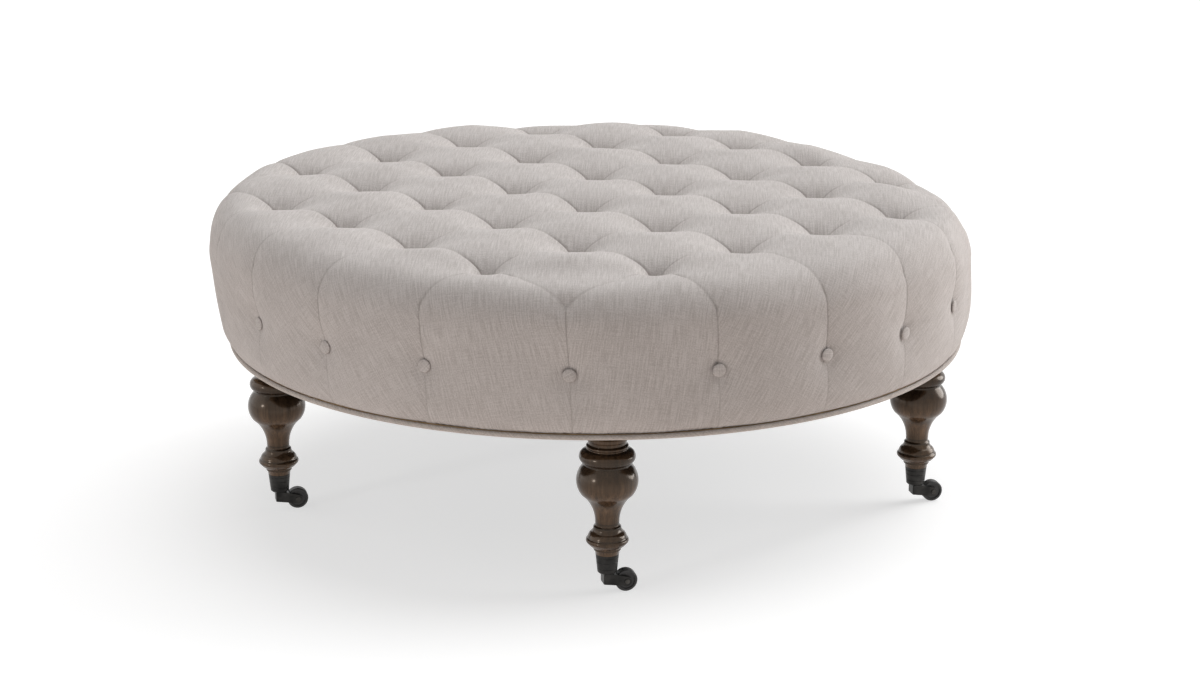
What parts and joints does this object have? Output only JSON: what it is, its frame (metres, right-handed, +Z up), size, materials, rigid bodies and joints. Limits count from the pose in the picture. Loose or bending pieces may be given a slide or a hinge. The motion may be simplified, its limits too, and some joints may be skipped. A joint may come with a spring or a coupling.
{
  "type": "round ottoman",
  "caption": "Round deep-buttoned ottoman with a welted padded side, on turned wooden legs with cup casters.",
  "frame": {"origin": "on the floor, under the centre of the round body, level with the bottoms of the wheels", "axes": "+Z up, -Y towards the front leg, +X to the right as seen from the front"},
  "size_m": [1.0668, 1.0668, 0.432],
  "materials": {
    "upholstery": "woven linen, matte",
    "button_cloth": "woven linen over a button",
    "welt_cloth": "woven linen, bias cut",
    "foam": "open cell foam",
    "dust_cloth": "black non-woven",
    "twine": "waxed twine",
    "frame_wood": "raw plywood",
    "leg_wood": "dark stain, satin lacquer",
    "caster_metal": "blackened",
    "axle_metal": "darkened steel",
    "wheel_black": "satin black",
    "hardware_steel": "zinc plated"
  },
  "bodies": {
    "ottoman": {"tufted_cushion": "upholstery", "side_padding": "upholstery", "foam_core": "foam", "top_buttons": "button_cloth", "side_buttons": "button_cloth", "welt_cord": "welt_cloth", "top_twines": "twine", "side_twines": "twine", "top_ties": "hardware_steel", "side_ties": "hardware_steel", "base_ring": "frame_wood", "side_hoop": "frame_wood", "deck_board": "frame_wood", "left_joist": "frame_wood", "right_joist": "frame_wood", "deck_screws": "hardware_steel", "block_screws": "hardware_steel", "hanger_bolts": "hardware_steel", "bolt_washers": "hardware_steel", "bolt_nuts": "hardware_steel", "dust_cover": "dust_cloth", "cover_staples": "hardware_steel", "swivel_pins": "caster_metal", "leg_block_1": "frame_wood", "leg_1": "leg_wood", "ferrule_1": "caster_metal", "leg_block_2": "frame_wood", "leg_2": "leg_wood", "ferrule_2": "caster_metal", "leg_block_3": "frame_wood", "leg_3": "leg_wood", "ferrule_3": "caster_metal", "leg_block_4": "frame_wood", "leg_4": "leg_wood", "ferrule_4": "caster_metal", "leg_block_5": "frame_wood", "leg_5": "leg_wood", "ferrule_5": "caster_metal"},
    "caster_1": {"caster_horn_1": "caster_metal", "caster_axle_1": "axle_metal"},
    "wheel_1": {"caster_wheel_1": "wheel_black"},
    "caster_2": {"caster_horn_2": "caster_metal", "caster_axle_2": "axle_metal"},
    "wheel_2": {"caster_wheel_2": "wheel_black"},
    "caster_3": {"caster_horn_3": "caster_metal", "caster_axle_3": "axle_metal"},
    "wheel_3": {"caster_wheel_3": "wheel_black"},
    "caster_4": {"caster_horn_4": "caster_metal", "caster_axle_4": "axle_metal"},
    "wheel_4": {"caster_wheel_4": "wheel_black"},
    "caster_5": {"caster_horn_5": "caster_metal", "caster_axle_5": "axle_metal"},
    "wheel_5": {"caster_wheel_5": "wheel_black"}
  },
  "joints": [
    {"name": "caster_swivel_1", "type": "hinge", "parent": "ottoman", "child": "caster_1", "pos_m": [0, -0.467, 0.02], "axis": [0, 0, 1], "continuous": true},
    {"name": "wheel_spin_1", "type": "hinge", "parent": "caster_1", "child": "wheel_1", "pos_m": [0.02348, -0.46201, 0.0145], "axis": [0.2079, -0.9781, 0], "continuous": true},
    {"name": "caster_swivel_2", "type": "hinge", "parent": "ottoman", "child": "caster_2", "pos_m": [0.44414, -0.14431, 0.02], "axis": [0, 0, 1], "continuous": true},
    {"name": "wheel_spin_2", "type": "hinge", "parent": "caster_2", "child": "wheel_2", "pos_m": [0.46762, -0.13932, 0.0145], "axis": [0.2079, -0.9781, 0], "continuous": true},
    {"name": "caster_swivel_3", "type": "hinge", "parent": "ottoman", "child": "caster_3", "pos_m": [0.2745, 0.37781, 0.02], "axis": [0, 0, 1], "continuous": true},
    {"name": "wheel_spin_3", "type": "hinge", "parent": "caster_3", "child": "wheel_3", "pos_m": [0.29797, 0.3828, 0.0145], "axis": [0.2079, -0.9781, 0], "continuous": true},
    {"name": "caster_swivel_4", "type": "hinge", "parent": "ottoman", "child": "caster_4", "pos_m": [-0.2745, 0.37781, 0.02], "axis": [0, 0, 1], "continuous": true},
    {"name": "wheel_spin_4", "type": "hinge", "parent": "caster_4", "child": "wheel_4", "pos_m": [-0.25102, 0.3828, 0.0145], "axis": [0.2079, -0.9781, 0], "continuous": true},
    {"name": "caster_swivel_5", "type": "hinge", "parent": "ottoman", "child": "caster_5", "pos_m": [-0.44414, -0.14431, 0.02], "axis": [0, 0, 1], "continuous": true},
    {"name": "wheel_spin_5", "type": "hinge", "parent": "caster_5", "child": "wheel_5", "pos_m": [-0.42067, -0.13932, 0.0145], "axis": [0.2079, -0.9781, 0], "continuous": true}
  ]
}
